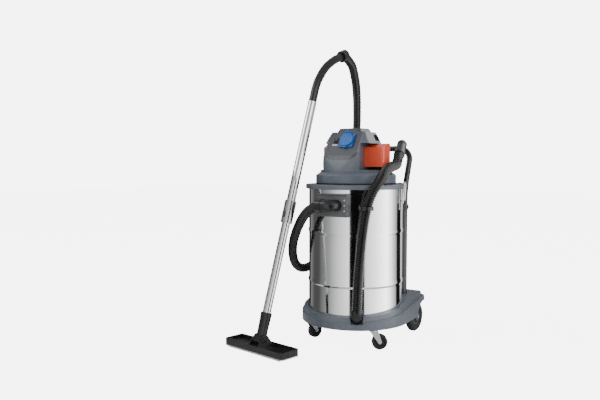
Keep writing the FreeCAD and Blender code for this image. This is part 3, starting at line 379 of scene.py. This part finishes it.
# bevel widths; a node not named here gets the standard edge
edges = {
    "side_grip_left": 0.007, "side_grip_right": 0.007, "top_cap": 0.002, "head_cover": 0.0015,
    "head_base": 0.0015, "control_panel": 0.001, "trolley": 0.0018, "tool_body": 0.0016, "rim_band": 0.0008,
    "tool_socket": 0.0012, "socket_lid": 0.0015, "caster_wheel_left": 0.0008, "caster_wheel_right": 0.0008,
    "latch_lever_left": 0.0012, "latch_lever_right": 0.0012, "hose_collar": 0.0012, "drain_fitting": 0.0008,
    "wand_coupling": 0.0012, "inlet_housing": 0.0012, "tool_elbow": 0.001, "handle_brackets": 0.001,
}
standard = {"edge": 0.0004, "angle": 32, "weld": 0.00002}


def roundEdges(item, width):
    item.data.polygons.foreach_set("use_smooth", [True] * len(item.data.polygons))
    weld = item.modifiers.new("weld", "WELD")
    weld.merge_threshold = standard["weld"]
    bevel = item.modifiers.new("edges", "BEVEL")
    bevel.width = width
    bevel.segments = 2
    bevel.limit_method = "ANGLE"
    bevel.angle_limit = math.radians(standard["angle"])
    bevel.use_clamp_overlap = True
    level = item.modifiers.new("shading", "WEIGHTED_NORMAL")
    level.keep_sharp = True


# pieces whose finish differs from the others in their slot; the socket's darker blue is painted shade
ownFinish = {"tool_socket": "shadedSocketBlue", "wand_coupling": "couplingChrome", "wand_lock_button": "buttonGrey"}
for node, item in nodes.items():
    paint(item, ownFinish.get(node, slotOf[node]))
    roundEdges(item, edges.get(node, standard["edge"]))
for hose in (suctionHose, drainHose):
    paint(hose, "hose_plastic")
print("frame finished")


# drum: one smooth spun shell with two swaged beads and a rolled foot

drum = {"wall": 0.0012, "foot": 0.012, "footSteps": 8, "inset": 0.0025, "axis": 0.0004, "shoulder": 0.56,
        "beads": (0.245, 0.446), "beadHalf": 0.013, "beadDepth": 0.0024, "fineStep": 0.0013, "steps": 200}


def drumLine():
    low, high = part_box("drum")
    radius = high.x - drum["inset"]
    line = []
    for step in range(drum["footSteps"] + 1):
        way = math.pi / 2 * step / drum["footSteps"]
        line.append((radius - drum["foot"] * (1 - math.sin(way)), low.z + drum["foot"] * (1 - math.cos(way))))
    heights = [low.z + drum["foot"] + 0.01]
    for middle in drum["beads"]:
        count = round(2 * drum["beadHalf"] / drum["fineStep"])
        heights += [middle - drum["beadHalf"] + 2 * drum["beadHalf"] * i / count for i in range(count + 1)]
    heights += [drum["shoulder"], high.z]
    for height in heights:
        lift = 0
        for middle in drum["beads"]:
            away = abs(height - middle) / drum["beadHalf"]
            if away < 1:
                lift = drum["beadDepth"] * (0.5 + 0.5 * math.cos(math.pi * away)) ** 0.75
        line.append((radius + lift, height))
    inside = [(r - drum["wall"], max(z, low.z + drum["wall"])) for r, z in reversed(line)]
    return [(drum["axis"], low.z)] + line + inside + [(drum["axis"], low.z + drum["wall"])]


drumShell = link("drumShell", lathe("drumShell", drumLine(), drum["steps"]), "drum")
paint(drumShell, "polished_steel")

# filter: pleated paper between two moulded ends

pleats = {"count": 64, "outer": 0.0705, "inner": 0.060, "bore": 0.0525, "end": 0.008, "lip": 0.001}


def pleatMesh():
    low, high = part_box("filter_cartridge")
    count = pleats["count"] * 2

    def star(z, outer, inner):
        return [(r * math.cos(math.tau * i / count), r * math.sin(math.tau * i / count), z)
                for i in range(count) for r in ((outer if i % 2 else inner),)]

    rim = pleats["outer"] + pleats["lip"]
    rings = [star(low.z, rim, rim), star(low.z + pleats["end"], rim, rim),
             star(low.z + pleats["end"], pleats["outer"], pleats["inner"]),
             star(high.z - pleats["end"], pleats["outer"], pleats["inner"]),
             star(high.z - pleats["end"], rim, rim), star(high.z, rim, rim),
             star(high.z, pleats["bore"], pleats["bore"]), star(low.z, pleats["bore"], pleats["bore"])]
    return meshOf("filterPleats", *loft(rings, closed=True), smooth=25)


filterPleats = link("filterPleats", pleatMesh(), "filter_cartridge")
paint(filterPleats, "filter_paper")

# brush hair under the floor tool

brush = {"place": (-0.190, -0.388), "turn": -9.6, "half": 0.145, "rows": ((-0.041, -0.035), (0.035, 0.041)),
         "step": 0.0016, "lines": 3, "top": 0.006, "foot": 0.0003, "thick": 0.0008, "taper": 0.6,
         "strayAlong": 0.0003, "strayAcross": 0.0004, "leanAlong": 0.001, "leanAcross": 0.0005}


def stray(name):
    return random.uniform(-brush[name], brush[name])


def brushMesh():
    spin = Matrix.Rotation(math.radians(brush["turn"]), 4, "Z")
    move = Matrix.Translation((*brush["place"], 0))
    points, faces = [], []
    for near, far in brush["rows"]:
        for line in range(brush["lines"]):
            across = near + (far - near) * (line + 0.5) / brush["lines"]
            for step in range(int(2 * brush["half"] / brush["step"])):
                x = -brush["half"] + brush["step"] * (step + 0.5) + stray("strayAlong")
                y = across + stray("strayAcross")
                tipX, tipY = x + stray("leanAlong"), y + stray("leanAcross")
                first = len(points)
                for a, b, z, share in ((x, y, brush["top"], 1), (tipX, tipY, brush["foot"], brush["taper"])):
                    reach = brush["thick"] * share
                    for i in range(4):
                        angle = math.tau * i / 4
                        place = Vector((a + reach * math.cos(angle), b + reach * math.sin(angle), z))
                        points.append(move @ spin @ place)
                sides = [(i, (i + 1) % 4) for i in range(4)]
                faces += [(first + i, first + j, first + 4 + j, first + 4 + i) for i, j in sides]
                faces += [tuple(first + i for i in (3, 2, 1, 0)), tuple(first + i for i in (4, 5, 6, 7))]
    return meshOf("brushHair", points, faces)


brushHair = link("brushHair", brushMesh(), "brush_strips")
paint(brushHair, "brush_hair")

# pale strip under the rocker switch, lying on the sloped panel

strip = {"foot": (0, -0.120, 0.755), "slope": math.atan2(83, 50), "across": -0.038, "up": 0.036,
         "width": 0.024, "height": 0.0075, "thick": 0.0006, "sunk": 0.0002, "corner": 0.0015}


def stripMesh():
    along = Vector((0, math.cos(strip["slope"]), math.sin(strip["slope"])))
    out = Vector((0, -along.z, along.y))
    half, tall, corner = strip["width"] / 2, strip["height"] / 2, strip["corner"]
    flat = []
    for x, y, first in ((half, tall, 0), (-half, tall, 90), (-half, -tall, 180), (half, -tall, 270)):
        for step in range(4):
            angle = math.radians(first + 30 * step)
            flat.append((x - math.copysign(corner, x) + corner * math.cos(angle),
                         y - math.copysign(corner, y) + corner * math.sin(angle)))
    centre = Vector(strip["foot"]) + Vector((strip["across"], 0, 0)) + along * strip["up"]
    rings = [[centre + Vector((x, 0, 0)) + along * y + out * lift for x, y in flat]
             for lift in (-strip["sunk"], strip["thick"])]
    return meshOf("switchStrip", *loft(rings))


switchStrip = link("switchStrip", stripMesh(), body="head")
paint(switchStrip, "paleLabel")
print("drum, filter and brushes made")

# studio: white floor and backdrop, broad soft lights, and a ring of reflectors for the bright metal

# each light: place, size in metres, watts
studio = {
    "keyLight": ((-2.4, -2.6, 3.0), 2.2, 62), "fillLight": ((3.0, -1.6, 1.8), 2.4, 52),
    "rimLight": ((0.6, 3.0, 2.6), 2.0, 40),
    "aim": (0, 0, 0.45), "sky": 0.62, "backdrop": 6.0, "floorGlow": 5.8, "half": 14, "height": 30,
}


def panelLight(name, place, size, power):
    lamp = bpy.data.lights.new(name, "AREA")
    lamp.shape = "SQUARE"
    lamp.size = size
    lamp.energy = power
    item = bpy.data.objects.new(name, lamp)
    item.location = place
    item.rotation_mode = "QUATERNION"
    item.rotation_quaternion = (Vector(studio["aim"]) - Vector(place)).to_track_quat("-Z", "Y")
    bpy.context.scene.collection.objects.link(item)


for name in ("keyLight", "fillLight", "rimLight"):
    panelLight(name, *studio[name])

world = bpy.data.worlds.new("studioWhite")
bpy.context.scene.world = world
world.use_nodes = True
world.node_tree.nodes["Background"].inputs["Color"].default_value = (1, 1, 1, 1)
world.node_tree.nodes["Background"].inputs["Strength"].default_value = studio["sky"]


def stageMesh(name, points, faces, material, camera=False, diffuse=False, glossy=False):
    # a piece of the studio that only the named kinds of ray meet
    item = link(name, meshOf(name, points, faces))
    item.data.materials.append(material)
    item.visible_camera, item.visible_diffuse, item.visible_glossy = camera, diffuse, glossy
    item.visible_shadow = False


def studioWhite(name, glow=0.0):
    # matt white that may give off an even light
    colours = {"Base_Color": (0.8, 0.8, 0.8, 1), "Roughness": 1.0, "Specular_IOR_Level": 0.0}
    if glow:
        colours.update(Emission_Color=(1, 1, 1, 1), Emission_Strength=glow)
    return newMaterial(name, **colours)[0]


side = studio["half"]
corners = [(-side, -side, 0), (side, -side, 0), (side, side, 0), (-side, side, 0)]
around = [(i, (i + 1) % 4, 4 + (i + 1) % 4, 4 + i) for i in range(4)]
wall = [(x, y, z) for z in (0, studio["height"]) for x, y, _ in corners]
stageMesh("studioFloor", corners, [(0, 1, 2, 3)], studioWhite("floorWhite", studio["floorGlow"]), camera=True)
stageMesh("studioBackdrop", wall, around + [(4, 5, 6, 7)], studioWhite("backdropWhite", studio["backdrop"]),
          camera=True)
stageMesh("floorBounce", corners, [(0, 1, 2, 3)], studioWhite("floorBounce"), diffuse=True, glossy=True)

# brightness round the ring, by degrees to the right of its facing side
ring = {"radius": 0.62, "foot": 0.002, "top": 0.85, "steps": 96, "facing": 34.4, "glow": 5.0, "stops": (
    (-180, 0.3), (-152, 0.02), (-136, 0.02), (-128, 0.3), (-110, 0.10), (-92, 0.10), (-60, 0.5), (-30, 1.5),
    (-18, 1.9), (-16.5, 0.004), (13, 0.004), (14.5, 1.6), (36, 2.6), (64, 5.0), (84, 1.5), (97, 0.5),
    (99, 0.01), (118, 0.01), (121, 1.2), (140, 0.3), (180, 0.3))}


def ringMesh():
    count = ring["steps"]
    way = [math.tau * i / count for i in range(count)]
    points = [(ring["radius"] * math.cos(a), ring["radius"] * math.sin(a), z)
              for z in (ring["foot"], ring["top"]) for a in way]
    return points, [(i, (i + 1) % count, count + (i + 1) % count, count + i) for i in range(count)]


cards, at, shader = newMaterial("reflectorCards", Base_Color=(0, 0, 0, 1), Roughness=1.0,
                                Specular_IOR_Level=0.0, Emission_Strength=ring["glow"])
place = at.add("SeparateXYZ", None, {0: at.add("TexCoord", output=3)})
across = Wire(place.tree, place.socket.node.outputs[1])
round360 = at.sum("ARCTAN2", across, place) * (1 / math.tau)
share = at.sum("FRACT", round360 + (90 - ring["facing"]) / 360 + 0.5, 0.0)
shares = [((degrees + 180) / 360, (*[bright / ring["glow"]] * 3, 1)) for degrees, bright in ring["stops"]]
at.feed(shader.inputs["Emission Color"], at.add("ValToRGB", {"stops": shares}, {0: share}))
stageMesh("reflectorRing", *ringMesh(), cards, glossy=True)
print("studio lit")
